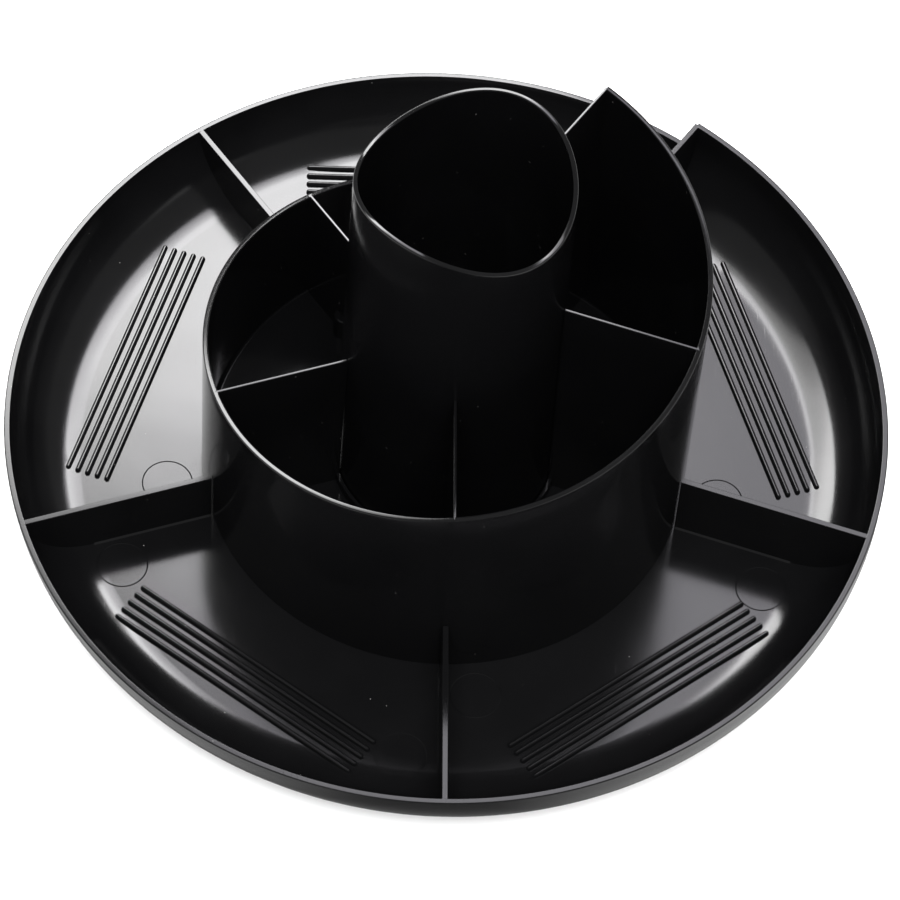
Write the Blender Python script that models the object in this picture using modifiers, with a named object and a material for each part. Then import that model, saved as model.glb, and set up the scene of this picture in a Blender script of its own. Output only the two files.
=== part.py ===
"""Rotary desk organiser: a turning tray with a spiral caddy and a pencil cup, on a ball-bearing base.

Metres, +Z up. The origin is on the turning axis, at the level of the surface that the feet stand on.
"""
import math

import bmesh
import bpy
from mathutils import Matrix, Vector

# Fits and fineness
GAP = 0.0003                 # between faces that touch
SINK = 0.001                 # how far a wall is rooted in the wall it grows from
MERGE = 0.00001              # corners nearer than this are one
CORNER = math.radians(35.0)  # edges sharper than this stay sharp
TURN_STEPS = 64              # facets round a large turned piece
SMALL_STEPS = 20             # facets round a small one
HOLE_STEPS = 10              # facets round a screw, a boss or a hole
RAMP_STEPS = 36              # facets along each half of a spiral
ROD_TURN = math.radians(7.0)  # keeps a hole's corners off the facets that it is cut in

# The five walls: their number, their first angle, and where each spiral steps down
WALL_COUNT = 5
STEP_ANGLE = math.radians(54.0)
RAMP_OVERLAP = math.radians(10.0)  # of the two cutters that trim one spiral
STEP_PAST = math.radians(0.3)    # how far the second cutter runs past the step

# Tray: heights are above its floor
TRAY_RADIUS = 0.150
TRAY_WALL = 0.0020
TRAY_FLOOR = 0.0024
COVE_RADIUS = 0.0233
COVE_STEPS = 5
RIM_LOW = 0.0173
RIM_HIGH = 0.0314
DIVIDER_THICK = 0.0020
RIB_COUNT = 5
RIB_RADIUS = 0.0010
RIB_PITCH = 0.0035
RIB_LENGTH = 0.0972
RIB_OUTERMOST = 0.1192       # distance of the outermost rib from the axis
RIB_SIDES = 6

# Caddy: a ring wall with five fins; heights are above the tray's floor
CADDY_RADIUS = 0.0830
CADDY_WALL = 0.0018
CADDY_FLOOR = 0.0020
CADDY_LOW = 0.0414
CADDY_HIGH = 0.1243
CADDY_HOLE = 0.020
FIN_THICK = 0.0014
COLLAR_WALL = 0.0012
COLLAR_HEIGHT = 0.004
BOSS_PLACE = 0.060           # distance of the screw bosses from the axis
BOSS_RADIUS = 0.0036
BOSS_HEIGHT = 0.010
BOSS_ROOF = 0.002

# Pencil cup: heights are above the tray's floor
CUP_TOP_RADIUS = 0.0358
CUP_FOOT_RADIUS = 0.0375
CUP_WALL = 0.0016
CUP_FLOOR = 0.0020
CUP_HEIGHT = 0.1612          # of the rim, on average
CUP_WAVE = 0.0062            # how far the rim rises and dips
CUP_WAVE_ANGLE = math.radians(52.0)
CUP_STEPS = 60

# Ball race and cage
BALL_RADIUS = 0.0030
BALL_COUNT = 12
BALL_SEGMENTS = 12
BALL_RINGS = 6
TRACK_RADIUS = 0.074
TRACK_RIB = 0.0012
TRACK_RIB_HEIGHT = 0.0018
CAGE_WIDTH = 0.014
CAGE_THICK = 0.0012

# Base, its feet and the pivot
BASE_RADIUS = 0.100
BASE_THICK = 0.0025
BASE_SKIRT = 0.0015          # how far the edge hangs below the plate
CENTRE_RADIUS = 0.014
CENTRE_SLOPE = 0.004
CENTRE_RISE = 0.0035
FOOT_COUNT = 6
FOOT_RADIUS = 0.009
FOOT_HEIGHT = 0.0024
FOOT_PLACE = 0.086
FOOT_EDGE = 0.0006
HUB_RADIUS = 0.0052
HUB_CLEARANCE = 0.0004
WASHER_RADIUS = 0.009
WASHER_THICK = 0.0010
SCREW_RADIUS = 0.0015
SCREW_HEAD_RADIUS = 0.0030
SCREW_HEAD_HEIGHT = 0.0016
PIVOT_HEAD_RADIUS = 0.0042
BORE_RADIUS = SCREW_RADIUS + GAP

# Heights of the stack, from the feet up
BASE_BOTTOM = FOOT_HEIGHT + GAP
BASE_TOP = BASE_BOTTOM + BASE_THICK
BALL_LEVEL = BASE_TOP + GAP + BALL_RADIUS
TRAY_BOTTOM = BALL_LEVEL + BALL_RADIUS + GAP
FLOOR_LEVEL = TRAY_BOTTOM + TRAY_FLOOR
CADDY_BOTTOM = FLOOR_LEVEL + GAP
CADDY_TOP_OF_FLOOR = CADDY_BOTTOM + CADDY_FLOOR
CUP_BOTTOM = CADDY_TOP_OF_FLOOR + GAP
CENTRE_BOTTOM = BASE_BOTTOM + CENTRE_RISE
HUB_BOTTOM = CENTRE_BOTTOM - GAP
WASHER_TOP = HUB_BOTTOM - GAP
CUP_RIM = FLOOR_LEVEL + CUP_HEIGHT

# Finishes: colour, roughness, metallic
FINISHES = {
    "gloss_black": ((0.012, 0.012, 0.013), 0.12, 0.0),
    "satin_black": ((0.016, 0.016, 0.017), 0.26, 0.0),
    "base_black": ((0.020, 0.020, 0.021), 0.55, 0.0),
    "rubber": ((0.035, 0.035, 0.036), 0.85, 0.0),
    "natural_nylon": ((0.72, 0.70, 0.64), 0.45, 0.0),
    "bearing_steel": ((0.70, 0.71, 0.72), 0.12, 1.0),
    "zinc_steel": ((0.62, 0.63, 0.64), 0.32, 1.0),
}


def finish(name):
    material = bpy.data.materials.get(name)
    if material is None:
        colour, roughness, metallic = FINISHES[name]
        material = bpy.data.materials.new(name)
        material.use_nodes = True
        shader = material.node_tree.nodes["Principled BSDF"]
        shader.inputs["Base Color"].default_value = (*colour, 1.0)
        shader.inputs["Roughness"].default_value = roughness
        shader.inputs["Metallic"].default_value = metallic
    return material


def clear_scene():
    for thing in list(bpy.data.objects):
        bpy.data.objects.remove(thing, do_unlink=True)


def new_collection(name):
    collection = bpy.data.collections.new(name)
    bpy.context.scene.collection.children.link(collection)
    return collection


def add_piece(name, mesh, finish_name, parent=None):
    """Adds a finished sub-part to the organiser's collection."""
    piece = bpy.data.objects.new(name, mesh)
    mesh.materials.clear()
    mesh.materials.append(finish(finish_name))
    organiser.objects.link(piece)
    piece.parent = parent
    return piece


def add_tool(name, mesh):
    """Adds a shape that is only joined to, or cut from, a sub-part."""
    tool = bpy.data.objects.new(name, mesh)
    tool.hide_render = True
    tool.display_type = "WIRE"
    cutters.objects.link(tool)
    return tool


def profile_mesh(name, points, closed):
    """A turned piece's half section, as edges in the XZ plane."""
    edges = [(i, i + 1) for i in range(len(points) - 1)]
    if closed:
        edges.append((len(points) - 1, 0))
    mesh = bpy.data.meshes.new(name)
    mesh.from_pydata([(x, 0.0, z) for x, z in points], edges, [])
    return mesh


def turn(piece, steps):
    """Turns a piece's half section about Z."""
    screw = piece.modifiers.new("turn", "SCREW")
    screw.axis = "Z"
    screw.steps = steps
    screw.render_steps = steps
    screw.use_merge_vertices = True
    screw.merge_threshold = MERGE
    weld = piece.modifiers.new("weld", "WELD")
    weld.merge_threshold = MERGE


def boolean(piece, tool, operation):
    step = piece.modifiers.new(tool.name, "BOOLEAN")
    step.operation = operation
    step.solver = "EXACT"
    step.object = tool


def shade_round(piece):
    """Shades a piece smooth except at its real corners."""
    piece.data.shade_smooth()
    piece.data.set_sharp_from_angle(angle=CORNER)


def bake(piece):
    """Replaces a piece's mesh with its evaluated one, and drops its modifiers."""
    bpy.context.view_layer.update()
    graph = bpy.context.evaluated_depsgraph_get()
    mesh = bpy.data.meshes.new_from_object(piece.evaluated_get(graph))
    piece.modifiers.clear()
    piece.data = mesh


def flat_plate(name, outline, thick, angle):
    """A plate of the given outline (distance from the axis, height), standing on a radius."""
    curve = bpy.data.curves.new(name, "CURVE")
    curve.dimensions = "2D"
    curve.fill_mode = "BOTH"
    curve.extrude = thick / 2
    spline = curve.splines.new("POLY")
    spline.points.add(len(outline) - 1)
    for point, (x, y) in zip(spline.points, outline):
        point.co = (x, y, 0.0, 1.0)
    spline.use_cyclic_u = True
    drawn = bpy.data.objects.new(name + "_outline", curve)
    cutters.objects.link(drawn)
    bpy.context.view_layer.update()
    graph = bpy.context.evaluated_depsgraph_get()
    mesh = bpy.data.meshes.new_from_object(drawn.evaluated_get(graph))
    bpy.data.objects.remove(drawn, do_unlink=True)
    shape = bmesh.new()
    shape.from_mesh(mesh)
    bmesh.ops.remove_doubles(shape, verts=shape.verts, dist=MERGE)
    bmesh.ops.recalc_face_normals(shape, faces=shape.faces)
    shape.to_mesh(mesh)
    shape.free()
    plate = add_tool(name, mesh)
    plate.matrix_world = Matrix.Rotation(angle, 4, "Z") @ Matrix.Rotation(math.radians(90.0), 4, "X")
    return plate


def rods(name, places, radius, low, high, sides):
    """Upright rods between two heights, as one tool."""
    shape = bmesh.new()
    for x, y in places:
        bmesh.ops.create_cone(
            shape, cap_ends=True, segments=sides, radius1=radius, radius2=radius,
            depth=high - low,
            matrix=Matrix.Translation((x, y, (low + high) / 2)) @ Matrix.Rotation(ROD_TURN, 4, "Z"))
    mesh = bpy.data.meshes.new(name)
    shape.to_mesh(mesh)
    shape.free()
    return add_tool(name, mesh)


def half_ramp(name, inside, outside, low, high, start, sweep):
    """The space above a helical ramp, for a part of one turn."""
    top = low + CADDY_HIGH
    shape = bmesh.new()
    corners = [(inside, low), (outside, low), (outside, top), (inside, top)]
    verts = [shape.verts.new((x * math.cos(start), x * math.sin(start), z)) for x, z in corners]
    face = shape.faces.new(verts)
    bmesh.ops.spin(
        shape, geom=[face] + verts + list(face.edges), cent=(0.0, 0.0, 0.0), axis=(0.0, 0.0, 1.0),
        dvec=Vector((0.0, 0.0, (high - low) / RAMP_STEPS)), angle=sweep, steps=RAMP_STEPS)
    bmesh.ops.recalc_face_normals(shape, faces=shape.faces)
    mesh = bpy.data.meshes.new(name)
    shape.to_mesh(mesh)
    shape.free()
    return add_tool(name, mesh)


def cut_spiral(piece, inside, outside, low, high):
    """Trims a piece to a spiral that climbs once round, from just past the step to the step again."""
    half = math.pi + RAMP_OVERLAP
    slope = (high - low) / (2 * math.pi)
    middle = low + slope * (math.pi - RAMP_OVERLAP)
    past = half + STEP_PAST
    first = half_ramp(piece.name + "_ramp_1", inside, outside, low, low + slope * half, STEP_ANGLE, half)
    last = half_ramp(piece.name + "_ramp_2", inside, outside, middle, middle + slope * past,
                     STEP_ANGLE + math.pi - RAMP_OVERLAP, past)
    boolean(piece, first, "DIFFERENCE")
    boolean(piece, last, "DIFFERENCE")


def on_circle(radius, angle):
    return radius * math.cos(angle), radius * math.sin(angle)


def wall_angle(index):
    return STEP_ANGLE + index * 2 * math.pi / WALL_COUNT


def cove(radius, from_degrees, to_degrees):
    """Points on the curve that joins the tray's floor to its wall."""
    centre_x = TRAY_RADIUS - TRAY_WALL - COVE_RADIUS
    centre_z = FLOOR_LEVEL + COVE_RADIUS
    points = []
    for step in range(COVE_STEPS + 1):
        angle = math.radians(from_degrees + (to_degrees - from_degrees) * step / COVE_STEPS)
        points.append((centre_x + radius * math.cos(angle), centre_z + radius * math.sin(angle)))
    return points


def track_ribs(level, height):
    """The four corners of each of the two ribs that guide the balls, inner rib first."""
    inner = TRACK_RADIUS - BALL_RADIUS - GAP
    outer = TRACK_RADIUS + BALL_RADIUS + GAP
    inner_rib = [(inner - TRACK_RIB, level), (inner - TRACK_RIB, level + height),
                 (inner, level + height), (inner, level)]
    outer_rib = [(outer, level), (outer, level + height),
                 (outer + TRACK_RIB, level + height), (outer + TRACK_RIB, level)]
    return inner_rib + outer_rib


def cup_radius(level):
    """The cup's outer radius at a height: it narrows from foot to rim."""
    share = (level - CUP_BOTTOM) / (CUP_RIM - CUP_BOTTOM)
    return CUP_FOOT_RADIUS + (CUP_TOP_RADIUS - CUP_FOOT_RADIUS) * share


def divider_outline(top):
    """A divider's outline: from beside the ring wall to inside the tray's wall, rooted in its floor."""
    rooted = cove(COVE_RADIUS + TRAY_WALL / 2, -90, 0)
    start = CADDY_RADIUS + GAP
    return [(start, FLOOR_LEVEL - SINK)] + rooted + [(rooted[-1][0], top), (start, top)]


def make_tray(parent):
    """The wide dish: spiral rim, coved floor, five dividers and finger ribs."""
    rim = FLOOR_LEVEL + RIM_HIGH
    uncut = rim + SINK
    inside = TRAY_RADIUS - TRAY_WALL
    skin = COVE_RADIUS + TRAY_WALL
    underside = list(reversed(track_ribs(TRAY_BOTTOM, -TRACK_RIB_HEIGHT)))
    section = (
        [(BORE_RADIUS, FLOOR_LEVEL)] + cove(COVE_RADIUS, -90, 0) + [(inside, uncut), (TRAY_RADIUS, uncut)]
        + cove(skin, 0, -90) + [(inside - COVE_RADIUS, TRAY_BOTTOM)] + underside
        + [(HUB_RADIUS, TRAY_BOTTOM), (HUB_RADIUS, HUB_BOTTOM), (BORE_RADIUS, HUB_BOTTOM)])
    tray = add_piece("tray", profile_mesh("tray", section, True), "satin_black", parent)
    turn(tray, TURN_STEPS)
    holes = [on_circle(BOSS_PLACE, wall_angle(i)) for i in range(WALL_COUNT)]
    boolean(tray, rods("tray_holes", holes, BORE_RADIUS, TRAY_BOTTOM - SINK, FLOOR_LEVEL + SINK,
                       HOLE_STEPS), "DIFFERENCE")

    for index in range(1, WALL_COUNT):
        boolean(tray, flat_plate(f"divider_{index}", divider_outline(uncut), DIVIDER_THICK, wall_angle(index)),
                "UNION")
    cut_spiral(tray, CADDY_RADIUS, TRAY_RADIUS + COVE_RADIUS, FLOOR_LEVEL + RIM_LOW, rim - GAP)
    boolean(tray, flat_plate("divider_0", divider_outline(rim), DIVIDER_THICK, STEP_ANGLE), "UNION")
    boolean(tray, finger_ribs(), "UNION")
    shade_round(tray)


def finger_ribs():
    """Round-topped ribs on the tray's floor, five across the middle of each compartment."""
    shape = bmesh.new()
    for wall in range(WALL_COUNT):
        middle = wall_angle(wall) + math.pi / WALL_COUNT
        for rib in range(RIB_COUNT):
            place = RIB_OUTERMOST - rib * RIB_PITCH
            lie = (Matrix.Rotation(middle, 4, "Z") @ Matrix.Translation((place, 0.0, FLOOR_LEVEL))
                   @ Matrix.Rotation(math.radians(90.0), 4, "X")
                   @ Matrix.Rotation(math.pi / RIB_SIDES, 4, "Z"))
            bmesh.ops.create_cone(
                shape, cap_ends=True, segments=RIB_SIDES, radius1=RIB_RADIUS, radius2=RIB_RADIUS,
                depth=RIB_LENGTH, matrix=lie)
    mesh = bpy.data.meshes.new("finger_ribs")
    shape.to_mesh(mesh)
    shape.free()
    return add_tool("finger_ribs", mesh)


def fin_outline(top):
    """A fin's outline: from inside the ring wall to the cup's slanting side, on the caddy's floor."""
    root = CADDY_TOP_OF_FLOOR - SINK
    wall = CADDY_RADIUS - CADDY_WALL / 2
    collar = cup_radius(CUP_BOTTOM) + GAP + COLLAR_WALL / 2
    step = CADDY_TOP_OF_FLOOR + COLLAR_HEIGHT - SINK
    return [(collar, root), (wall, root), (wall, top), (cup_radius(top) + GAP, top),
            (cup_radius(step) + GAP, step), (collar, step)]


def make_caddy(parent):
    """The spiral ring wall on its own floor, with five fins, a collar for the cup and screw bosses."""
    inside = CADDY_RADIUS - CADDY_WALL
    rim = FLOOR_LEVEL + CADDY_HIGH
    uncut = rim + SINK
    collar = cup_radius(CUP_BOTTOM) + GAP
    collar_top = CADDY_TOP_OF_FLOOR + COLLAR_HEIGHT
    section = [
        (CADDY_HOLE, CADDY_TOP_OF_FLOOR), (collar, CADDY_TOP_OF_FLOOR), (collar, collar_top),
        (collar + COLLAR_WALL, collar_top), (collar + COLLAR_WALL, CADDY_TOP_OF_FLOOR),
        (inside, CADDY_TOP_OF_FLOOR), (inside, uncut), (CADDY_RADIUS, uncut),
        (CADDY_RADIUS, CADDY_BOTTOM), (CADDY_HOLE, CADDY_BOTTOM)]
    caddy = add_piece("caddy", profile_mesh("caddy", section, True), "gloss_black", parent)
    turn(caddy, TURN_STEPS)

    for index in range(1, WALL_COUNT):
        boolean(caddy, flat_plate(f"fin_{index}", fin_outline(uncut), FIN_THICK, wall_angle(index)), "UNION")
    cut_spiral(caddy, CADDY_HOLE, CADDY_RADIUS + COVE_RADIUS, FLOOR_LEVEL + CADDY_LOW, rim - GAP)
    boolean(caddy, flat_plate("fin_0", fin_outline(rim), FIN_THICK, STEP_ANGLE), "UNION")
    places = [on_circle(BOSS_PLACE, wall_angle(i)) for i in range(WALL_COUNT)]
    roof = CADDY_TOP_OF_FLOOR + BOSS_HEIGHT
    boolean(caddy, rods("bosses", places, BOSS_RADIUS, CADDY_BOTTOM + SINK, roof, HOLE_STEPS), "UNION")
    boolean(caddy, rods("boss_bores", places, BORE_RADIUS, CADDY_BOTTOM - SINK, roof - BOSS_ROOF,
                        HOLE_STEPS), "DIFFERENCE")
    shade_round(caddy)


def make_cup(parent):
    """The tapered pencil cup, whose rim rises and dips twice round."""
    foot = cup_radius(CUP_BOTTOM)
    floor = CUP_BOTTOM + CUP_FLOOR
    section = [
        (0.0, floor), (cup_radius(floor) - CUP_WALL, floor), (CUP_TOP_RADIUS - CUP_WALL, CUP_RIM),
        (CUP_TOP_RADIUS, CUP_RIM), (foot, CUP_BOTTOM), (0.0, CUP_BOTTOM)]
    cup = add_piece("pencil_cup", profile_mesh("pencil_cup", section, False), "gloss_black", parent)
    turn(cup, CUP_STEPS)
    bake(cup)
    for vertex in cup.data.vertices:
        if vertex.co.z > CUP_RIM - GAP:
            angle = math.atan2(vertex.co.y, vertex.co.x)
            vertex.co.z += CUP_WAVE * math.cos(2 * (angle - CUP_WAVE_ANGLE))
    shade_round(cup)


def make_screw(name, place, head_radius, under_head, tip, parent):
    """A pan-head screw that is driven upwards."""
    bottom = under_head - SCREW_HEAD_HEIGHT
    edge = head_radius - SCREW_HEAD_HEIGHT / 2
    section = [
        (0.0, tip), (SCREW_RADIUS, tip), (SCREW_RADIUS, under_head), (head_radius, under_head),
        (head_radius, bottom + SCREW_HEAD_HEIGHT / 2), (edge, bottom), (0.0, bottom)]
    screw = add_piece(name, profile_mesh(name, section, False), "zinc_steel", parent)
    turn(screw, HOLE_STEPS)
    screw.location = (*place, 0.0)
    shade_round(screw)


def make_washer(parent):
    """The steel washer that keeps the hub in the base."""
    bottom = WASHER_TOP - WASHER_THICK
    section = [(BORE_RADIUS, WASHER_TOP), (WASHER_RADIUS, WASHER_TOP), (WASHER_RADIUS, bottom),
               (BORE_RADIUS, bottom)]
    washer = add_piece("pivot_washer", profile_mesh("pivot_washer", section, True), "zinc_steel", parent)
    turn(washer, SMALL_STEPS)
    shade_round(washer)


def make_base():
    """The round base plate: ball track, raised centre and a hanging edge."""
    hole = HUB_RADIUS + HUB_CLEARANCE
    top = CENTRE_BOTTOM + BASE_THICK
    foot = CENTRE_RADIUS + CENTRE_SLOPE
    edge = BASE_RADIUS - BASE_THICK
    skirt = BASE_BOTTOM - BASE_SKIRT
    section = (
        [(hole, top), (CENTRE_RADIUS, top), (foot, BASE_TOP)] + track_ribs(BASE_TOP, TRACK_RIB_HEIGHT)
        + [(BASE_RADIUS, BASE_TOP), (BASE_RADIUS, skirt), (edge, skirt), (edge, BASE_BOTTOM),
           (foot, BASE_BOTTOM), (CENTRE_RADIUS, CENTRE_BOTTOM), (hole, CENTRE_BOTTOM)])
    base = add_piece("base_plate", profile_mesh("base_plate", section, True), "base_black")
    turn(base, TURN_STEPS)
    shade_round(base)


def make_feet():
    """Round rubber feet under the base plate."""
    for index in range(FOOT_COUNT):
        name = f"foot_{index + 1}"
        shape = bmesh.new()
        bmesh.ops.create_cone(
            shape, cap_ends=True, segments=SMALL_STEPS, radius1=FOOT_RADIUS, radius2=FOOT_RADIUS,
            depth=FOOT_HEIGHT)
        mesh = bpy.data.meshes.new(name)
        shape.to_mesh(mesh)
        shape.free()
        foot = add_piece(name, mesh, "rubber")
        foot.location = (*on_circle(FOOT_PLACE, index * 2 * math.pi / FOOT_COUNT), FOOT_HEIGHT / 2)
        edge = foot.modifiers.new("edge", "BEVEL")
        edge.width = FOOT_EDGE
        edge.segments = 1
        edge.limit_method = "ANGLE"
        shade_round(foot)


def ball_angle(index):
    return index * 2 * math.pi / BALL_COUNT


def make_cage(parent):
    """The flat ring that spaces the balls."""
    inner = TRACK_RADIUS - CAGE_WIDTH / 2
    outer = TRACK_RADIUS + CAGE_WIDTH / 2
    low = BALL_LEVEL - CAGE_THICK / 2
    high = BALL_LEVEL + CAGE_THICK / 2
    section = [(inner, high), (outer, high), (outer, low), (inner, low)]
    cage = add_piece("ball_cage", profile_mesh("ball_cage", section, True), "natural_nylon", parent)
    turn(cage, TURN_STEPS)
    places = [on_circle(TRACK_RADIUS, ball_angle(i)) for i in range(BALL_COUNT)]
    boolean(cage, rods("cage_holes", places, BALL_RADIUS + GAP, low - SINK, high + SINK,
                       HOLE_STEPS), "DIFFERENCE")
    shade_round(cage)


def make_balls(parent):
    """The steel balls that carry the tray."""
    for index in range(BALL_COUNT):
        name = f"ball_{index + 1:02d}"
        shape = bmesh.new()
        bmesh.ops.create_uvsphere(shape, u_segments=BALL_SEGMENTS, v_segments=BALL_RINGS, radius=BALL_RADIUS)
        mesh = bpy.data.meshes.new(name)
        shape.to_mesh(mesh)
        shape.free()
        ball = add_piece(name, mesh, "bearing_steel", parent)
        ball.location = (*on_circle(TRACK_RADIUS, ball_angle(index)), BALL_LEVEL)
        ball.data.shade_smooth()


def axis_empty(name):
    """An empty on the turning axis, which the pieces of one turning body hang from."""
    empty = bpy.data.objects.new(name, None)
    organiser.objects.link(empty)
    return empty


clear_scene()
organiser = new_collection("rotary_desk_organiser")
cutters = new_collection("cutters")
carousel = axis_empty("carousel_axis")
race = axis_empty("race_axis")
make_base()
make_feet()
make_cage(race)
make_balls(race)
make_tray(carousel)
make_caddy(carousel)
make_cup(carousel)
for number in range(WALL_COUNT):
    spot = on_circle(BOSS_PLACE, wall_angle(number))
    screw_tip = CADDY_TOP_OF_FLOOR + BOSS_HEIGHT - BOSS_ROOF - SINK
    make_screw(f"caddy_screw_{number + 1}", spot, SCREW_HEAD_RADIUS, TRAY_BOTTOM - GAP, screw_tip, carousel)
make_screw("pivot_screw", (0.0, 0.0), PIVOT_HEAD_RADIUS, WASHER_TOP - WASHER_THICK - GAP,
           FLOOR_LEVEL - GAP, carousel)
make_washer(carousel)
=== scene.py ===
import math

import bmesh
import bpy
from mathutils import Matrix, Vector
from mathutils.kdtree import KDTree


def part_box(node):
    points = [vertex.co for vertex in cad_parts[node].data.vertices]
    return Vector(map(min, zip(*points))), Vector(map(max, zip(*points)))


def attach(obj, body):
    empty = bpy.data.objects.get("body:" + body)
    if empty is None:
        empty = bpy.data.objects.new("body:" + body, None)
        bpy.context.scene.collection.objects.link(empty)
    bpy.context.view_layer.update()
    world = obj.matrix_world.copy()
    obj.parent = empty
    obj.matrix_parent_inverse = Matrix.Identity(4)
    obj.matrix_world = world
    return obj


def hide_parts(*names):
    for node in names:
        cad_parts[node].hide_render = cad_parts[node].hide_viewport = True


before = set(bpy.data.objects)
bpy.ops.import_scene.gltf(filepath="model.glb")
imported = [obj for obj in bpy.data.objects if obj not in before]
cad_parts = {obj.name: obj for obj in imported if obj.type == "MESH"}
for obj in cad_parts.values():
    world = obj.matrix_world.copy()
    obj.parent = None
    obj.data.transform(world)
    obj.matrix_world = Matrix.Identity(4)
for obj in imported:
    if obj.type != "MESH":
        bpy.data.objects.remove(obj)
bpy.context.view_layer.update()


# Rubber feet: six soft pads, moulded in dark grey rubber and pressed on under the base plate.
# Each has a softened edge and a shallow hollow in its sole, so that it grips the desk.
FOOT_COUNT = 6
FOOT_SIDES = 48
FOOT_ROUND = 0.0005
FOOT_ROUND_ROWS = 4
FOOT_SOLE_LIP = 0.0022
FOOT_HOLLOW = 0.0006
FACING_DOWN = -0.9
SHARP_CORNER = 1.0
SMOOTH_BELOW = math.radians(30.0)
USUAL_LOW, USUAL_HIGH = 0.3, 0.7


def start_fresh():
    """Leaves nothing selected, so that the next step acts only on its own piece."""
    bpy.ops.object.select_all(action="DESELECT")


def enter(piece):
    """Opens a piece for editing, with nothing in it selected."""
    start_fresh()
    piece.select_set(True)
    bpy.context.view_layer.objects.active = piece
    bpy.ops.object.mode_set(mode="EDIT")
    bpy.ops.mesh.select_all(action="DESELECT")


def leave():
    """Closes the piece that is being edited."""
    bpy.ops.object.mode_set(mode="OBJECT")


def pick(piece, kind, wanted):
    """Selects, in edit mode, the vertices, edges or faces that are wanted, and nothing else."""
    bpy.ops.mesh.select_mode(type=kind)
    bpy.ops.mesh.select_all(action="DESELECT")
    shape = bmesh.from_edit_mesh(piece.data)
    shape.normal_update()
    for part in {"VERT": shape.verts, "EDGE": shape.edges, "FACE": shape.faces}[kind]:
        if wanted(part):
            part.select_set(True)
    shape.select_flush_mode()
    bmesh.update_edit_mesh(piece.data)


def settle(piece):
    """Puts a piece's place and turn into its mesh, and shades it smooth up to its real corners."""
    start_fresh()
    piece.select_set(True)
    bpy.context.view_layer.objects.active = piece
    bpy.ops.object.transform_apply(location=True, rotation=True, scale=True)
    bpy.ops.object.shade_smooth_by_angle(angle=SMOOTH_BELOW)
    weigh = piece.modifiers.new("flat_faces_first", "WEIGHTED_NORMAL")
    weigh.keep_sharp = True
    bpy.ops.object.modifier_apply(modifier=weigh.name)


def new_material(name, colour, roughness, metallic=0.0):
    """A shader with its even values set on it, and a reader of the piece's own coordinates."""
    material = bpy.data.materials.new(name)
    material.use_nodes = True
    nodes = material.node_tree.nodes
    shader = nodes["Principled BSDF"]
    shader.inputs["Base Color"].default_value = (*colour, 1.0)
    shader.inputs["Roughness"].default_value = roughness
    shader.inputs["Metallic"].default_value = metallic
    place = nodes.new("ShaderNodeTexCoord")
    return material, material.node_tree, shader, place.outputs["Object"]


def cloud(tree, place, grain, detail=3.0, stretch=None):
    """Soft uneven noise, whose lumps are about one grain across, or longer where it is stretched."""
    if stretch:
        mapping = tree.nodes.new("ShaderNodeMapping")
        mapping.inputs["Scale"].default_value = stretch
        tree.links.new(place, mapping.inputs["Vector"])
        place = mapping.outputs["Vector"]
    noise = tree.nodes.new("ShaderNodeTexNoise")
    noise.inputs["Scale"].default_value = 1.0 / grain
    noise.inputs["Detail"].default_value = detail
    tree.links.new(place, noise.inputs["Vector"])
    return noise.outputs["Fac"]


def between(tree, value, low, high, to_low, to_high):
    """Spreads part of a value's range over another range."""
    spread = tree.nodes.new("ShaderNodeMapRange")
    for name, number in (("From Min", low), ("From Max", high), ("To Min", to_low),
                         ("To Max", to_high)):
        spread.inputs[name].default_value = number
    tree.links.new(value, spread.inputs["Value"])
    return spread.outputs["Result"]


def tinted(tree, value, dark, light):
    """Runs from one colour to another."""
    mix = tree.nodes.new("ShaderNodeMix")
    mix.data_type = "RGBA"
    mix.inputs["A"].default_value = (*dark, 1.0)
    mix.inputs["B"].default_value = (*light, 1.0)
    tree.links.new(value, mix.inputs["Factor"])
    return mix.outputs["Result"]


def raised(tree, height, depth, under=None):
    """Turns a pattern into relief of a real depth, on top of any relief that is under it."""
    bump = tree.nodes.new("ShaderNodeBump")
    bump.inputs["Distance"].default_value = depth
    tree.links.new(height, bump.inputs["Height"])
    if under:
        tree.links.new(under, bump.inputs["Normal"])
    return bump.outputs["Normal"]


def mottled(name, colour, roughness, drift, dark, light, rough, pores, pore_depth, metallic=0.0):
    """A finish whose colour and gloss drift a little from place to place, over fine pores."""
    material, tree, shader, place = new_material(name, colour, roughness, metallic)
    drifting = cloud(tree, place, drift)
    tree.links.new(tinted(tree, drifting, dark, light), shader.inputs["Base Color"])
    tree.links.new(between(tree, drifting, USUAL_LOW, USUAL_HIGH, *rough), shader.inputs["Roughness"])
    tree.links.new(raised(tree, cloud(tree, place, pores), pore_depth), shader.inputs["Normal"])
    return material


rubber = mottled("foot_rubber", colour=(0.035, 0.035, 0.036), roughness=0.8, drift=0.003,
                 dark=(0.022, 0.022, 0.023), light=(0.055, 0.055, 0.055), rough=(0.68, 0.92),
                 pores=0.0004, pore_depth=0.00003)

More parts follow.
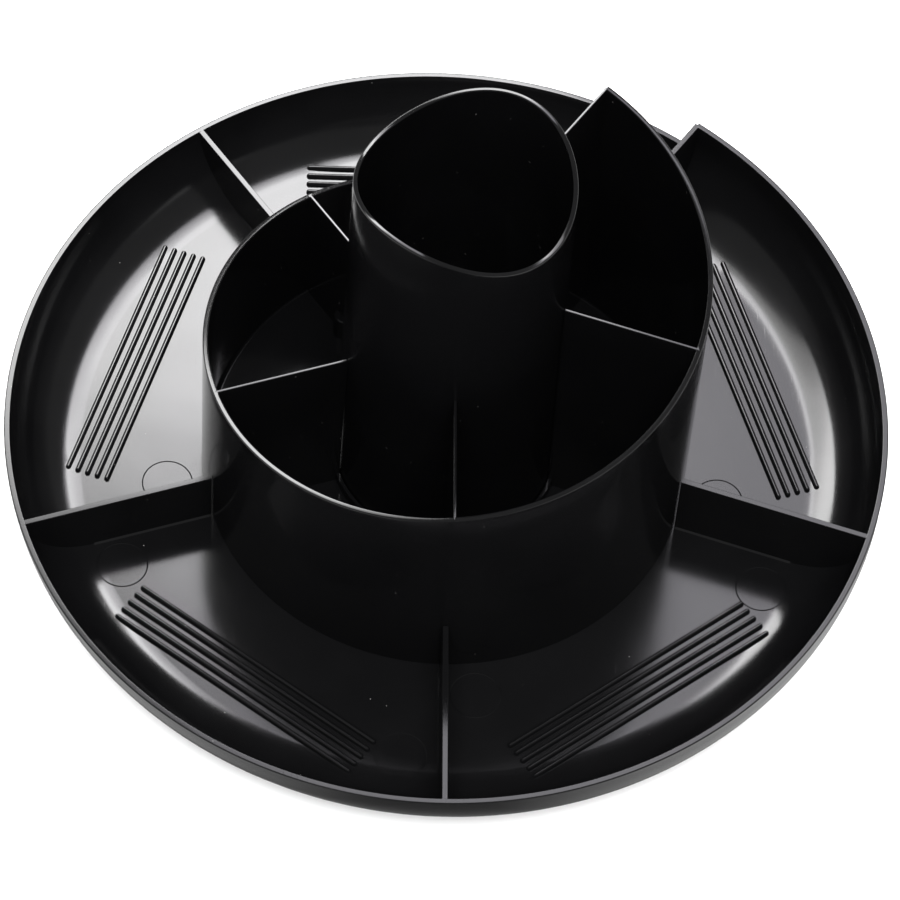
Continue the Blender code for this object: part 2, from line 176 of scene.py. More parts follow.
for number in range(1, FOOT_COUNT + 1):
    low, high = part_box(f"foot_{number}")
    start_fresh()
    bpy.ops.mesh.primitive_cylinder_add(
        vertices=FOOT_SIDES, radius=(high.x - low.x) / 2, depth=high.z - low.z,
        location=(low + high) / 2)
    foot = bpy.context.object
    foot.name = f"foot_pad_{number}"
    enter(foot)
    pick(foot, "FACE", lambda face: face.normal.z < FACING_DOWN)
    bpy.ops.mesh.inset(thickness=FOOT_SOLE_LIP)
    bpy.ops.mesh.inset(thickness=FOOT_HOLLOW)
    bpy.ops.transform.translate(value=(0.0, 0.0, FOOT_HOLLOW))
    bpy.ops.mesh.inset(thickness=FOOT_SOLE_LIP)
    pick(foot, "EDGE", lambda edge: edge.calc_face_angle(0.0) > SHARP_CORNER)
    bpy.ops.mesh.bevel(offset=FOOT_ROUND, segments=FOOT_ROUND_ROWS, affect="EDGES")
    leave()
    settle(foot)
    foot.data.materials.append(rubber)
    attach(foot, "base")
    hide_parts(f"foot_{number}")


# Base plate: the flat round plate that stays still on the desk, moulded in matt black polystyrene.
# The cage and its balls run on it, and the pivot screw holds the tray down to its middle.
def repaint(node, material):
    """Gives a node of the frame its finished material."""
    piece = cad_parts[node]
    for slot_of_piece in piece.material_slots:
        slot_of_piece.material = material


base_black = mottled("base_black", colour=(0.02, 0.02, 0.021), roughness=0.55, drift=0.018,
                     dark=(0.014, 0.014, 0.015), light=(0.028, 0.028, 0.029), rough=(0.46, 0.62),
                     pores=0.0005, pore_depth=0.00003)
repaint("base_plate", base_black)


# Ball race: twelve steel balls in a thin nylon ring, loose between the base plate and the tray.
# The balls are bought in, hardened and polished; the ring only keeps them apart.
BALL_COUNT = 12
BALL_SIDES = 32
BALL_ROWS = 16
NYLON_MILKINESS = 0.1
NYLON_DEPTH = 0.001

nylon = mottled("cage_nylon", colour=(0.72, 0.70, 0.64), roughness=0.45, drift=0.006,
                dark=(0.64, 0.62, 0.55), light=(0.76, 0.75, 0.70), rough=(0.36, 0.52),
                pores=0.0006, pore_depth=0.00002)
shader = nylon.node_tree.nodes["Principled BSDF"]
shader.inputs["Subsurface Weight"].default_value = NYLON_MILKINESS
shader.inputs["Subsurface Scale"].default_value = NYLON_DEPTH
repaint("ball_cage", nylon)

polished_steel, tree, shader, place = new_material(
    "ball_steel", colour=(0.70, 0.71, 0.72), roughness=0.1, metallic=1.0)
smear = cloud(tree, place, grain=0.002)
tree.links.new(tinted(tree, smear, dark=(0.60, 0.60, 0.60), light=(0.74, 0.75, 0.76)),
               shader.inputs["Base Color"])
tree.links.new(between(tree, smear, low=0.35, high=0.7, to_low=0.06, to_high=0.22),
               shader.inputs["Roughness"])

for number in range(1, BALL_COUNT + 1):
    low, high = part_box(f"ball_{number:02d}")
    start_fresh()
    bpy.ops.mesh.primitive_uv_sphere_add(
        segments=BALL_SIDES, ring_count=BALL_ROWS, radius=(high.z - low.z) / 2,
        location=(low + high) / 2)
    ball = bpy.context.object
    ball.name = f"race_ball_{number:02d}"
    settle(ball)
    ball.data.materials.append(polished_steel)
    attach(ball, "race")
    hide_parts(f"ball_{number:02d}")


# Tray: a wide dish moulded in one piece in black polystyrene, polished on its floor.
# Its wall rises in one slow spiral and drops back in a step, where the first of five dividers stands.
WALL_COUNT = 5
STEP_ANGLE = math.radians(54.0)
TRAY_STEPS = 360
TRAY_RADIUS = 0.150
TRAY_WALL = 0.0020
TRAY_FLOOR = 0.0024
FLOOR_RINGS = (0.060, 0.0835)
COVE_LEAD = 0.0006
UNDER_LEAD = 0.002
COVE_RADIUS = 0.0233
COVE_ROWS = 16
CLIMB_ROWS = 8
RIM_LOW = 0.0173
RIM_HIGH = 0.0314
RIM_INNER_ROUND = 0.00025
RIM_OUTER_ROUND = 0.0004
ROUND_ROWS = 4
DIVIDER_THICK = 0.0020
DIVIDER_TOP_SHARE = 0.95
DIVIDER_EDGE = 0.00018
DIVIDER_START = 0.0833
DIVIDER_FOOT = 0.0007
EDGE_ROWS = 3
JOINT_MARK = 0.00003
ROOT = 0.0010
FIT_GAP = 0.0003
RIB_COUNT = 5
RIB_RADIUS = 0.0010
RIB_CREST = 1.4
RIB_PITCH = 0.0035
RIB_LENGTH = 0.0986
RIB_OUTERMOST = 0.1192
RIB_SIDES = 20
RIB_ROWS = 9
PIN_RADIUS = 0.0085
PIN_STEPS = 72
PIN_GROOVE = 0.00022
PIN_GROOVE_SIDES = 8
PIN_PLACES = (
    (0.1184, 203.7), (0.1190, 263.4), (0.0954, 188.6), (0.0954, 276.7), (0.1191, 335.0),
    (0.0954, 350.5), (0.0954, 117.5), (0.0954, 135.4), (0.1190, 47.5), (0.1190, 60.5))
BORE_RADIUS = 0.0018
HUB_RADIUS = 0.0052
TRACK_RADIUS = 0.074
TRACK_GAP = 0.0033
TRACK_RIB = 0.0012
TRACK_RIB_HEIGHT = 0.0018
MERGE = 0.000002
DRAWING_START = 0.001

tray_low, tray_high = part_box("tray")
FLOOR_LEVEL = tray_high.z - RIM_HIGH
TRAY_BOTTOM = FLOOR_LEVEL - TRAY_FLOOR
COVE_START = TRAY_RADIUS - TRAY_WALL - COVE_RADIUS


def draw(name, points):
    """Draws a line from point to point in the XZ plane, in edit mode, as a half section is drawn."""
    start_fresh()
    x, z = points[0]
    bpy.ops.mesh.primitive_plane_add(size=DRAWING_START, location=(x, 0.0, z))
    piece = bpy.context.object
    piece.name = name
    bpy.ops.object.mode_set(mode="EDIT")
    bpy.ops.mesh.select_mode(type="VERT")
    bpy.ops.mesh.select_all(action="SELECT")
    bpy.ops.mesh.merge(type="CENTER")
    for (x, z), (next_x, next_z) in zip(points, points[1:]):
        bpy.ops.mesh.extrude_region_move(
            TRANSFORM_OT_translate={"value": (next_x - x, 0.0, next_z - z)})
    leave()
    piece.select_set(True)
    bpy.ops.object.transform_apply(location=True, rotation=True, scale=True)
    return piece


def turned(name, section_at, steps, closed):
    """Turns a half section once round from the step, and shapes each station to its share of the turn.

    The first and last stations stay apart, because they are the low and high sides of the step.
    """
    drawn = section_at(0.5)
    piece = draw(name, drawn)
    if closed:
        enter(piece)
        ends = {0, len(drawn) - 1}
        pick(piece, "VERT", lambda vertex: vertex.index in ends)
        bpy.ops.mesh.edge_face_add()
        leave()
    piece.rotation_euler.z = STEP_ANGLE
    bpy.ops.object.transform_apply(location=True, rotation=True, scale=True)
    enter(piece)
    bpy.ops.mesh.select_all(action="SELECT")
    bpy.ops.mesh.spin(steps=steps, angle=-2 * math.pi, center=(0.0, 0.0, 0.0),
                      axis=(0.0, 0.0, 1.0), use_auto_merge=False)
    leave()

    finder = KDTree(len(drawn))
    for row, (x, z) in enumerate(drawn):
        finder.insert((x, 0.0, z), row)
    finder.balance()
    sections = [section_at(station / steps) for station in range(steps + 1)]
    for vertex in piece.data.vertices:
        x, y, z = vertex.co
        row = finder.find((math.hypot(x, y), 0.0, z))[1]
        angle = (math.atan2(y, x) - STEP_ANGLE) % (2 * math.pi)
        station = round(angle / (2 * math.pi) * steps) % steps
        if station == 0 and vertex.index >= len(drawn):
            station = steps
        distance, height = sections[station][row]
        turn = STEP_ANGLE + 2 * math.pi * station / steps
        vertex.co = (distance * math.cos(turn), distance * math.sin(turn), height)
    enter(piece)
    bpy.ops.mesh.select_all(action="SELECT")
    bpy.ops.mesh.remove_doubles(threshold=MERGE)
    pick(piece, "EDGE", lambda edge: edge.is_boundary)
    if any(edge.select for edge in bmesh.from_edit_mesh(piece.data).edges):
        bpy.ops.mesh.edge_face_add()
    bpy.ops.mesh.select_all(action="SELECT")
    bpy.ops.mesh.normals_make_consistent(inside=False)
    leave()
    return piece


def quarter(centre_x, centre_z, radius, start, sweep, rows):
    """Points along an arc of a section, without its first one."""
    return [(centre_x + radius * math.cos(start + sweep * row / rows),
             centre_z + radius * math.sin(start + sweep * row / rows)) for row in range(1, rows + 1)]


def climb(low, high, share):
    """The height of a spiral rim after a share of its turn."""
    return low + (high - low) * share


def cove_at(height, radius):
    """How far out the dish's curve has come at a height above its floor."""
    if height >= COVE_RADIUS:
        return COVE_START + radius
    return COVE_START + math.sqrt(radius ** 2 - (COVE_RADIUS - height) ** 2)


def tray_section(share):
    """The tray's half section: up the inside from the bore to the rim, then down the outside."""
    rim = climb(RIM_LOW, RIM_HIGH, share)
    fixed = RIM_LOW - RIM_OUTER_ROUND
    skin = COVE_RADIUS + TRAY_WALL
    up = [(distance, 0.0) for distance in
          (BORE_RADIUS, *FLOOR_RINGS, COVE_START - COVE_LEAD, COVE_START)]
    last = math.asin((fixed - COVE_RADIUS) / COVE_RADIUS)
    up += quarter(COVE_START, COVE_RADIUS, COVE_RADIUS, -math.pi / 2, last + math.pi / 2, COVE_ROWS)
    shoulder = rim - RIM_INNER_ROUND
    for row in range(1, CLIMB_ROWS + 1):
        height = fixed + (shoulder - fixed) * row / CLIMB_ROWS
        up.append((cove_at(height, COVE_RADIUS), height))
    inner = up[-1][0]
    up += quarter(inner + RIM_INNER_ROUND, shoulder, RIM_INNER_ROUND,
                  math.pi, -math.pi / 2, ROUND_ROWS)
    shoulder = rim - RIM_OUTER_ROUND
    outer = cove_at(shoulder, skin)
    down = [(outer - RIM_OUTER_ROUND, rim)]
    down += quarter(outer - RIM_OUTER_ROUND, shoulder, RIM_OUTER_ROUND,
                    math.pi / 2, -math.pi / 2, ROUND_ROWS)
    for row in range(1, CLIMB_ROWS + 1):
        height = shoulder + (fixed - shoulder) * row / CLIMB_ROWS
        down.append((cove_at(height, skin), height))
    last = math.asin((fixed - COVE_RADIUS) / skin)
    down += quarter(COVE_START, COVE_RADIUS, skin, last, -math.pi / 2 - last, COVE_ROWS)
    under, track = -TRAY_FLOOR, -TRAY_FLOOR - TRACK_RIB_HEIGHT
    inside, outside = TRACK_RADIUS - TRACK_GAP, TRACK_RADIUS + TRACK_GAP
    hub = tray_low.z - FLOOR_LEVEL
    down += [(COVE_START - UNDER_LEAD, under), (outside + TRACK_RIB, under),
             (outside + TRACK_RIB, track), (outside, track), (outside, under),
             (inside, under), (inside, track), (inside - TRACK_RIB, track),
             (inside - TRACK_RIB, under), (HUB_RADIUS, under), (HUB_RADIUS, hub), (BORE_RADIUS, hub)]
    return [(x, z + FLOOR_LEVEL) for x, z in up + down]


def wall_angle(index):
    """Where a divider of the tray, or the fin of the caddy above it, stands round the axis."""
    return STEP_ANGLE + index * 2 * math.pi / WALL_COUNT


def plate(name, outline, thick, top_share, edge_round, angle):
    """A flat wall on a radius, a little thinner at its top, with its top edges eased."""
    piece = draw(name, outline)
    enter(piece)
    bpy.ops.mesh.select_all(action="SELECT")
    bpy.ops.mesh.edge_face_add()
    bpy.ops.mesh.extrude_region_move(TRANSFORM_OT_translate={"value": (0.0, thick, 0.0)})
    bpy.ops.mesh.select_all(action="SELECT")
    bpy.ops.transform.translate(value=(0.0, -thick / 2, 0.0))
    bpy.ops.mesh.normals_make_consistent(inside=False)
    top = max(z for _, z in outline)
    pick(piece, "VERT", lambda vertex: vertex.co.z > top - MERGE)
    bpy.ops.transform.resize(value=(1.0, top_share, 1.0), center_override=(0.0, 0.0, 0.0))
    pick(piece, "EDGE", lambda edge: all(vertex.co.z > top - MERGE for vertex in edge.verts)
         and abs(edge.verts[0].co.y - edge.verts[1].co.y) < MERGE)
    bpy.ops.mesh.bevel(offset=edge_round, segments=EDGE_ROWS, affect="EDGES")
    leave()
    piece.rotation_euler.z = angle
    bpy.ops.object.transform_apply(location=True, rotation=True, scale=True)
    return piece


def gather(pieces):
    """Joins separate meshes into the first one."""
    start_fresh()
    for piece in pieces:
        piece.select_set(True)
    bpy.context.view_layer.objects.active = pieces[0]
    bpy.ops.object.join()
    return pieces[0]


def mould_with(piece, tool, operation):
    """Joins a tool's shape to a piece, or cuts it away, and throws the tool away."""
    start_fresh()
    piece.select_set(True)
    bpy.context.view_layer.objects.active = piece
    step = piece.modifiers.new(tool.name, "BOOLEAN")
    step.operation = operation
    step.solver = "EXACT"
    step.object = tool
    bpy.ops.object.modifier_apply(modifier=step.name)
    bpy.data.objects.remove(tool, do_unlink=True)


def finger_rib(distance, angle):
    """One bead with round ends, half sunk in the floor."""
    start_fresh()
    bpy.ops.mesh.primitive_uv_sphere_add(
        segments=RIB_SIDES, ring_count=RIB_ROWS, radius=RIB_RADIUS,
        location=(distance, 0.0, FLOOR_LEVEL), rotation=(math.pi / 2, 0.0, 0.0))
    rib = bpy.context.object
    bpy.ops.object.transform_apply(location=True, rotation=True, scale=True)
    reach = RIB_LENGTH / 2 - RIB_RADIUS
    enter(rib)
    bpy.ops.mesh.select_all(action="SELECT")
    bpy.ops.transform.resize(
        value=(1.0, 1.0, RIB_CREST), center_override=(0.0, 0.0, FLOOR_LEVEL))
    pick(rib, "VERT", lambda vertex: vertex.co.y > 0.0)
    bpy.ops.transform.translate(value=(0.0, reach, 0.0))
    pick(rib, "VERT", lambda vertex: vertex.co.y < 0.0)
    bpy.ops.transform.translate(value=(0.0, -reach, 0.0))
    leave()
    rib.rotation_euler.z = angle
    bpy.ops.object.transform_apply(location=True, rotation=True, scale=True)
    return rib


SCUFF_WIDTH = 0.0006
SCUFF_STRETCH = (1.0, 0.04, 0.04)
SCUFF_PATCH = 0.012
DUST_SPACING = 0.0065
DUST_SIZE = 0.030
DUST_COLOUR = (0.16, 0.155, 0.15)


def scuffs(tree, place):
    """Fine hairlines from handling, thin and long, with clear plastic between them."""
    hair = cloud(tree, place, SCUFF_WIDTH, detail=2.0, stretch=SCUFF_STRETCH)
    patches = cloud(tree, place, SCUFF_PATCH, detail=2.0)
    lines = between(tree, hair, low=0.62, high=0.72, to_low=0.0, to_high=1.0)
    product = tree.nodes.new("ShaderNodeMath")
    product.operation = "MULTIPLY"
    tree.links.new(lines, product.inputs[0])
    tree.links.new(between(tree, patches, low=0.48, high=0.62, to_low=0.0, to_high=1.0),
                   product.inputs[1])
    return product.outputs["Value"]


def dust(tree, place, flow, dark, light):
    """The plastic's own colour, with a few pale specks of dust lying on it."""
    cells = tree.nodes.new("ShaderNodeTexVoronoi")
    cells.inputs["Scale"].default_value = 1.0 / DUST_SPACING
    tree.links.new(place, cells.inputs["Vector"])
    speck = between(tree, cells.outputs["Distance"], DUST_SIZE, DUST_SIZE * 0.5, 0.0, 1.0)
    plain = tinted(tree, flow, dark, light)
    mix = tree.nodes.new("ShaderNodeMix")
    mix.data_type = "RGBA"
    mix.inputs["B"].default_value = (*DUST_COLOUR, 1.0)
    tree.links.new(plain, mix.inputs["A"])
    tree.links.new(speck, mix.inputs["Factor"])
    return mix.outputs["Result"]


def moulded_black(name, colour, roughness, drift, dark, light, rough, grain, grain_depth,
                  scuff_depth, swell, swell_depth):
    """Polished black plastic: a mould's fine grain, hairline scuffs and a slow swell, with dust."""
    material, tree, shader, place = new_material(name, colour, roughness)
    flow = cloud(tree, place, drift, detail=4.0)
    tree.links.new(dust(tree, place, flow, dark, light), shader.inputs["Base Color"])
    tree.links.new(between(tree, flow, USUAL_LOW, USUAL_HIGH, *rough), shader.inputs["Roughness"])
    relief = raised(tree, cloud(tree, place, grain, detail=2.0), grain_depth)
    relief = raised(tree, scuffs(tree, place), scuff_depth, relief)
    relief = raised(tree, cloud(tree, place, swell, detail=1.0), swell_depth, relief)
    tree.links.new(relief, shader.inputs["Normal"])
    return material


satin_black = moulded_black(
    "satin_black", colour=(0.005, 0.005, 0.0052), roughness=0.11, drift=0.03,
    dark=(0.0012, 0.0012, 0.0013), light=(0.0028, 0.0028, 0.0030), rough=(0.13, 0.17),
    grain=0.0007, grain_depth=0.000004, scuff_depth=0.000006, swell=0.022, swell_depth=0.00006)

tray = turned("organiser_tray", tray_section, TRAY_STEPS, True)
additions = []
feet = []
root = FLOOR_LEVEL - ROOT
crown = FLOOR_LEVEL + DIVIDER_FOOT
foot_width = DIVIDER_THICK + 2 * (ROOT + DIVIDER_FOOT)
for index in range(WALL_COUNT):
    top = FLOOR_LEVEL + climb(RIM_LOW, RIM_HIGH, index / WALL_COUNT if index else 1.0) - JOINT_MARK
    arc = [(COVE_START, root)] + quarter(
        COVE_START, FLOOR_LEVEL + COVE_RADIUS, COVE_RADIUS + ROOT,
        -math.pi / 2, math.pi / 2, COVE_ROWS)
    arc = [(x, z) for x, z in arc if z < top - ROOT]
    end = cove_at(top - FLOOR_LEVEL, COVE_RADIUS) + ROOT
    outline = [(DIVIDER_START, root)] + arc + [(end, top), (DIVIDER_START, top)]
    additions.append(plate(f"divider_{index}", outline, DIVIDER_THICK, DIVIDER_TOP_SHARE,
                           DIVIDER_EDGE, wall_angle(index)))
    crease = [(DIVIDER_START + FIT_GAP, root), (COVE_START, root),
              (COVE_START, crown), (DIVIDER_START + FIT_GAP, crown)]
    feet.append(plate(f"divider_foot_{index}", crease, foot_width,
                      (DIVIDER_THICK - FIT_GAP) / foot_width, DIVIDER_EDGE, wall_angle(index)))
    middle = wall_angle(index) + math.pi / WALL_COUNT
    for rib in range(RIB_COUNT):
        additions.append(finger_rib(RIB_OUTERMOST - rib * RIB_PITCH, middle))
mould_with(tray, gather(additions), "UNION")
mould_with(tray, gather(feet), "UNION")

grooves = []
for distance, degrees in PIN_PLACES:
    angle = math.radians(degrees)
    start_fresh()
    bpy.ops.mesh.primitive_torus_add(
        location=(distance * math.cos(angle), distance * math.sin(angle), FLOOR_LEVEL),
        major_radius=PIN_RADIUS, minor_radius=PIN_GROOVE,
        major_segments=PIN_STEPS, minor_segments=PIN_GROOVE_SIDES)
    grooves.append(bpy.context.object)
grooves = gather(grooves)
start_fresh()
grooves.select_set(True)
bpy.ops.object.transform_apply(location=True, rotation=True, scale=True)
mould_with(tray, grooves, "DIFFERENCE")
enter(tray)
bpy.ops.mesh.select_all(action="SELECT")
bpy.ops.mesh.remove_doubles(threshold=MERGE)
bpy.ops.mesh.dissolve_degenerate(threshold=MERGE)
leave()
settle(tray)
tray.data.materials.append(satin_black)
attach(tray, "carousel")
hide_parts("tray")


# Caddy: a tall ring on its own floor, moulded in one piece in polished black polystyrene.
# Its wall climbs like the tray's, and five fins run in to the cup. A low collar keeps the cup's foot
# in place, and a boss under each fin takes the screw that holds the caddy down.
CADDY_RADIUS = 0.0830
CADDY_WALL = 0.0018
CADDY_LOW = 0.0414
CADDY_HIGH = 0.1243
CADDY_FLOOR = 0.0020
CADDY_HOLE = 0.020
CADDY_STEPS = 288
CADDY_EDGE = 0.00045
CADDY_FOOT_ROUND = 0.0010
FIN_THICK = 0.0014
FIN_TOP_SHARE = 0.65
FIN_EDGE = 0.0002
COLLAR_WALL = 0.0012
COLLAR_HEIGHT = 0.0040
BOSS_PLACE = 0.060
BOSS_RADIUS = 0.0036
BOSS_HEIGHT = 0.0100
BOSS_ROUND = 0.0008
BOSS_SIDES = 32
CUP_TOP_RADIUS = 0.0358
CUP_FOOT_RADIUS = 0.0375
CUP_HEIGHT = 0.1612

caddy_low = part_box("caddy")[0]
cup_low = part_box("pencil_cup")[0]
CADDY_TOP_OF_FLOOR = caddy_low.z + CADDY_FLOOR


def cup_radius(level):
    """The cup's outside at a height: it narrows from foot to rim."""
    share = (level - cup_low.z) / (FLOOR_LEVEL + CUP_HEIGHT - cup_low.z)
    return CUP_FOOT_RADIUS + (CUP_TOP_RADIUS - CUP_FOOT_RADIUS) * share


def caddy_section(share):
    """The caddy's half section: out over its floor and collar, up the ring, and back underneath."""
    rim = FLOOR_LEVEL + climb(CADDY_LOW, CADDY_HIGH, share)
    fixed = FLOOR_LEVEL + CADDY_LOW - CADDY_EDGE
    inside = CADDY_RADIUS - CADDY_WALL
    floor = CADDY_TOP_OF_FLOOR
    collar = cup_radius(cup_low.z) + FIT_GAP
    points = [(CADDY_HOLE, floor), (collar, floor), (collar, floor + COLLAR_HEIGHT),
              (collar + COLLAR_WALL, floor + COLLAR_HEIGHT), (collar + COLLAR_WALL, floor),
              (inside - CADDY_FOOT_ROUND, floor)]
    points += quarter(inside - CADDY_FOOT_ROUND, floor + CADDY_FOOT_ROUND, CADDY_FOOT_ROUND,
                      -math.pi / 2, math.pi / 2, ROUND_ROWS)
    shoulder = rim - CADDY_EDGE
    points += [(inside, fixed), (inside, shoulder)]
    points += quarter(inside + CADDY_EDGE, shoulder, CADDY_EDGE, math.pi, -math.pi / 2, ROUND_ROWS)
    points.append((CADDY_RADIUS - CADDY_EDGE, rim))
    points += quarter(CADDY_RADIUS - CADDY_EDGE, shoulder, CADDY_EDGE,
                      math.pi / 2, -math.pi / 2, ROUND_ROWS)
    points += [(CADDY_RADIUS, fixed), (CADDY_RADIUS, caddy_low.z), (CADDY_HOLE, caddy_low.z)]
    return points


gloss_black = moulded_black(
    "gloss_black", colour=(0.004, 0.004, 0.0042), roughness=0.1, drift=0.035,
    dark=(0.0010, 0.0010, 0.0011), light=(0.0024, 0.0024, 0.0026), rough=(0.08, 0.12),
    grain=0.0009, grain_depth=0.000003, scuff_depth=0.000005, swell=0.020, swell_depth=0.00005)

caddy = turned("spiral_caddy", caddy_section, CADDY_STEPS, True)
root = CADDY_TOP_OF_FLOOR - ROOT
step = CADDY_TOP_OF_FLOOR + COLLAR_HEIGHT - ROOT
wall = CADDY_RADIUS - CADDY_WALL / 2
collar = cup_radius(cup_low.z) + FIT_GAP + COLLAR_WALL / 2
additions = []
for index in range(WALL_COUNT):
    top = FLOOR_LEVEL + climb(CADDY_LOW, CADDY_HIGH, index / WALL_COUNT if index else 1.0) - JOINT_MARK
    outline = [(collar, root), (wall, root), (wall, top), (cup_radius(top) + FIT_GAP, top),
               (cup_radius(step) + FIT_GAP, step), (collar, step)]
    additions.append(plate(f"fin_{index}", outline, FIN_THICK, FIN_TOP_SHARE, FIN_EDGE,
                           wall_angle(index)))

boss_top = CADDY_TOP_OF_FLOOR + BOSS_HEIGHT
bosses = []
for index in range(WALL_COUNT):
    angle = wall_angle(index)
    start_fresh()
    bpy.ops.mesh.primitive_cylinder_add(
        vertices=BOSS_SIDES, radius=BOSS_RADIUS, depth=BOSS_HEIGHT + ROOT,
        location=(BOSS_PLACE * math.cos(angle), BOSS_PLACE * math.sin(angle), (root + boss_top) / 2))
    boss = bpy.context.object
    bpy.ops.object.transform_apply(location=True, rotation=True, scale=True)
    enter(boss)
    pick(boss, "EDGE", lambda edge: all(vertex.co.z > boss_top - MERGE for vertex in edge.verts))
    bpy.ops.mesh.bevel(offset=BOSS_ROUND, segments=EDGE_ROWS, affect="EDGES")
    leave()
    bosses.append(boss)
mould_with(caddy, gather(additions), "UNION")
mould_with(caddy, gather(bosses), "UNION")
settle(caddy)
caddy.data.materials.append(gloss_black)
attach(caddy, "carousel")
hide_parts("caddy")


# Pencil cup: a deep round cup moulded in the same polished black, a little narrower at its top.
# It stands in the caddy's collar, and its rim rises and dips twice round.
CUP_WALL = 0.0016
CUP_FLOOR = 0.0020
CUP_WAVE = 0.0062
CUP_WAVE_ANGLE = math.radians(52.0)
CUP_EDGE = 0.00045
CUP_FOOT_EDGE = 0.0008
CUP_FLOOR_ROUND = 0.0030
CUP_STEPS = 192
CUP_WALL_ROWS = 6


def cup_section(share):
    """The cup's half section, from under its middle, up over the rim and down to its floor."""
    turn = STEP_ANGLE + 2 * math.pi * share
    rim = FLOOR_LEVEL + CUP_HEIGHT + CUP_WAVE * math.cos(2 * (turn - CUP_WAVE_ANGLE))
    bottom, floor = cup_low.z, cup_low.z + CUP_FLOOR
    foot = cup_radius(bottom)
    points = [(0.0, bottom), (foot - CUP_FOOT_EDGE, bottom), (foot, bottom + CUP_FOOT_EDGE)]
    shoulder = rim - CUP_EDGE
    for row in range(1, CUP_WALL_ROWS + 1):
        height = (bottom + CUP_FOOT_EDGE
                  + (shoulder - bottom - CUP_FOOT_EDGE) * row / CUP_WALL_ROWS)
        points.append((cup_radius(height), height))
    outer = points[-1][0]
    points += quarter(outer - CUP_EDGE, shoulder, CUP_EDGE, 0.0, math.pi / 2, ROUND_ROWS)
    inner = outer - CUP_WALL
    points.append((inner + CUP_EDGE, rim))
    points += quarter(inner + CUP_EDGE, shoulder, CUP_EDGE, math.pi / 2, math.pi / 2, ROUND_ROWS)
    base = floor + CUP_FLOOR_ROUND
    for row in range(1, CUP_WALL_ROWS + 1):
        height = shoulder + (base - shoulder) * row / CUP_WALL_ROWS
        points.append((cup_radius(height) - CUP_WALL, height))
    corner = points[-1][0] - CUP_FLOOR_ROUND
    points += quarter(corner, base, CUP_FLOOR_ROUND, 0.0, -math.pi / 2, ROUND_ROWS)
    points.append((0.0, floor))
    return points


cup = turned("wave_cup", cup_section, CUP_STEPS, False)
settle(cup)
cup.data.materials.append(gloss_black)
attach(cup, "carousel")
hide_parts("pencil_cup")


# Screws: five hold the caddy to the tray from below, and one with a washer is the pivot.
# They are bought in, of zinc-plated steel.
zinc = mottled("zinc_steel", colour=(0.62, 0.63, 0.64), roughness=0.3, drift=0.0012,
               dark=(0.50, 0.51, 0.53), light=(0.68, 0.68, 0.66), rough=(0.22, 0.42),
               pores=0.0003, pore_depth=0.00001, metallic=1.0)
for number in range(1, WALL_COUNT + 1):
    repaint(f"caddy_screw_{number}", zinc)
repaint("pivot_screw", zinc)
repaint("pivot_washer", zinc)


# Studio: a pale paper floor, open from below, and a soft box behind that is dimmer at its near edge.
# A cool panel stands behind it to the right. An overhead light and an even sky fill in the rest,
# and the overhead light makes no reflection.
FLOOR_SIZE = 9.0
CAMERA_LENS = 200.1
CAMERA_SENSOR = 36.0
CAMERA_REACH = 50.0
CAMERA_DISTANCE = 1.7195
CAMERA_ELEVATION = math.radians(57.53)
CAMERA_AZIMUTH = math.radians(-3.71)
CAMERA_ROLL = math.radians(4.71)
CAMERA_SHIFT = (0.00721, 0.0053)
SKY_DIFFUSE = 1.3
SKY_GLOSS = 0.22
FLOOR_GLOSS_FRONT = 0.2
FLOOR_GLOSS_SIDE = 1.6
KEY_MIDDLE = -0.16
KEY_WIDTH = 0.52
KEY_HEIGHT = 0.60
KEY_STRIPS = ((0.27, 0.33, 3.0), (0.33, 0.39, 6.0), (0.39, 0.64, 11.5))
PANEL_TINT = (0.95, 0.93, 1.0)
WATTS_PER_RADIANCE = 4.0

start_fresh()
bpy.ops.mesh.primitive_plane_add(size=FLOOR_SIZE, location=(0.0, 0.0, 0.0))
floor = bpy.context.object
floor.name = "studio_floor"
paper, tree, shader, place = new_material("studio_paper", (0.86, 0.86, 0.86), 0.9)
tree.links.new(tinted(tree, cloud(tree, place, grain=0.05), dark=(0.85, 0.85, 0.85),
                      light=(0.88, 0.88, 0.88)), shader.inputs["Base Color"])
facing = tree.nodes.new("ShaderNodeNewGeometry")
clear = tree.nodes.new("ShaderNodeBsdfTransparent")
one_sided = tree.nodes.new("ShaderNodeMixShader")
tree.links.new(facing.outputs["Backfacing"], one_sided.inputs[0])
tree.links.new(shader.outputs["BSDF"], one_sided.inputs[1])
tree.links.new(clear.outputs["BSDF"], one_sided.inputs[2])
tree.links.new(one_sided.outputs["Shader"], tree.nodes["Material Output"].inputs["Surface"])
floor.data.materials.append(paper)
floor.visible_glossy = False

world = bpy.data.worlds.new("studio_world")
world.use_nodes = True
bpy.context.scene.world = world
tree = world.node_tree
sky = tree.nodes["Background"]
path = tree.nodes.new("ShaderNodeLightPath")
heading = tree.nodes.new("ShaderNodeTexCoord")
parts = tree.nodes.new("ShaderNodeSeparateXYZ")
tree.links.new(heading.outputs["Generated"], parts.inputs["Vector"])
side = tree.nodes.new("ShaderNodeMath")
side.operation = "ABSOLUTE"
tree.links.new(parts.outputs["X"], side.inputs[0])
below = between(tree, side.outputs["Value"], low=0.15, high=0.65,
                to_low=FLOOR_GLOSS_FRONT, to_high=FLOOR_GLOSS_SIDE)
height = between(tree, parts.outputs["Z"], low=-0.06, high=0.0, to_low=0.0, to_high=1.0)
gloss = tree.nodes.new("ShaderNodeMix")
tree.links.new(height, gloss.inputs["Factor"])
tree.links.new(below, gloss.inputs["A"])
gloss.inputs["B"].default_value = SKY_GLOSS
strength = tree.nodes.new("ShaderNodeMix")
strength.inputs["A"].default_value = SKY_DIFFUSE
tree.links.new(path.outputs["Is Glossy Ray"], strength.inputs["Factor"])
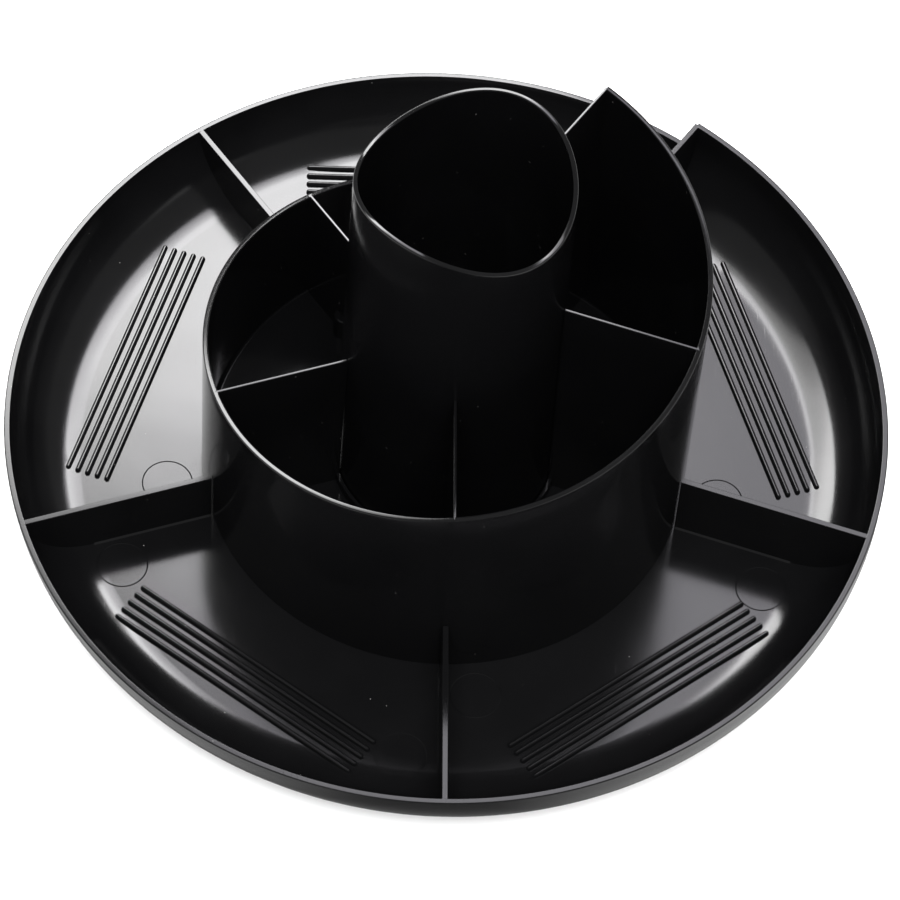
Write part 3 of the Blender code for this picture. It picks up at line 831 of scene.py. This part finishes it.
tree.links.new(gloss.outputs["Result"], strength.inputs["B"])
tree.links.new(strength.outputs["Result"], sky.inputs["Strength"])
sky.inputs["Color"].default_value = (1.0, 1.0, 1.0, 1.0)


def soft_box(name, place, aim, width, height, radiance, colour=(1.0, 1.0, 1.0)):
    """A rectangular soft light with an even face, aimed at a point below it."""
    light = bpy.data.lights.new(name, "AREA")
    light.shape = "RECTANGLE"
    light.size = width
    light.size_y = height
    light.energy = radiance * WATTS_PER_RADIANCE * width * height
    light.color = colour
    lamp = bpy.data.objects.new(name, light)
    lamp.location = place
    lamp.rotation_euler = (Vector(aim) - Vector(place)).to_track_quat("-Z", "Y").to_euler()
    lamp.visible_camera = False
    bpy.context.scene.collection.objects.link(lamp)
    return lamp


for number, (near, far, radiance) in enumerate(KEY_STRIPS, 1):
    middle = (near + far) / 2
    strip = soft_box(f"key_box_{number}", place=(KEY_MIDDLE, middle, KEY_HEIGHT),
                     aim=(KEY_MIDDLE, middle, 0.0), width=KEY_WIDTH, height=far - near,
                     radiance=radiance)
    strip.visible_diffuse = False
soft_box("side_panel", place=(0.22, 1.0, 1.75), aim=(0.05, 0.0, 0.0), width=0.75, height=0.8,
         radiance=3.3, colour=PANEL_TINT)
overhead = soft_box("overhead_fill", place=(0.0, -0.9, 2.5), aim=(0.0, 0.0, 0.0), width=1.5,
                    height=1.5, radiance=21.0)
overhead.visible_glossy = False

back = Vector((math.sin(CAMERA_AZIMUTH) * math.cos(CAMERA_ELEVATION),
               -math.cos(CAMERA_AZIMUTH) * math.cos(CAMERA_ELEVATION),
               math.sin(CAMERA_ELEVATION)))
camera_data = bpy.data.cameras.new("camera")
camera_data.lens = CAMERA_LENS
camera_data.sensor_width = CAMERA_SENSOR
camera_data.shift_x, camera_data.shift_y = CAMERA_SHIFT
camera_data.clip_end = CAMERA_REACH
camera = bpy.data.objects.new("camera", camera_data)
camera.rotation_mode = "QUATERNION"
camera.location = Vector((0.0, 0.0, FLOOR_LEVEL)) + back * CAMERA_DISTANCE
bpy.context.scene.collection.objects.link(camera)
right = Vector((math.cos(CAMERA_AZIMUTH), math.sin(CAMERA_AZIMUTH), 0.0))
up = back.cross(right)
across = right * math.cos(CAMERA_ROLL) + up * math.sin(CAMERA_ROLL)
along = up * math.cos(CAMERA_ROLL) - right * math.sin(CAMERA_ROLL)
camera.rotation_quaternion = Matrix((across, along, back)).transposed().to_quaternion()
bpy.context.scene.camera = camera
bpy.context.scene.view_settings.view_transform = "Standard"

bpy.context.view_layer.update()
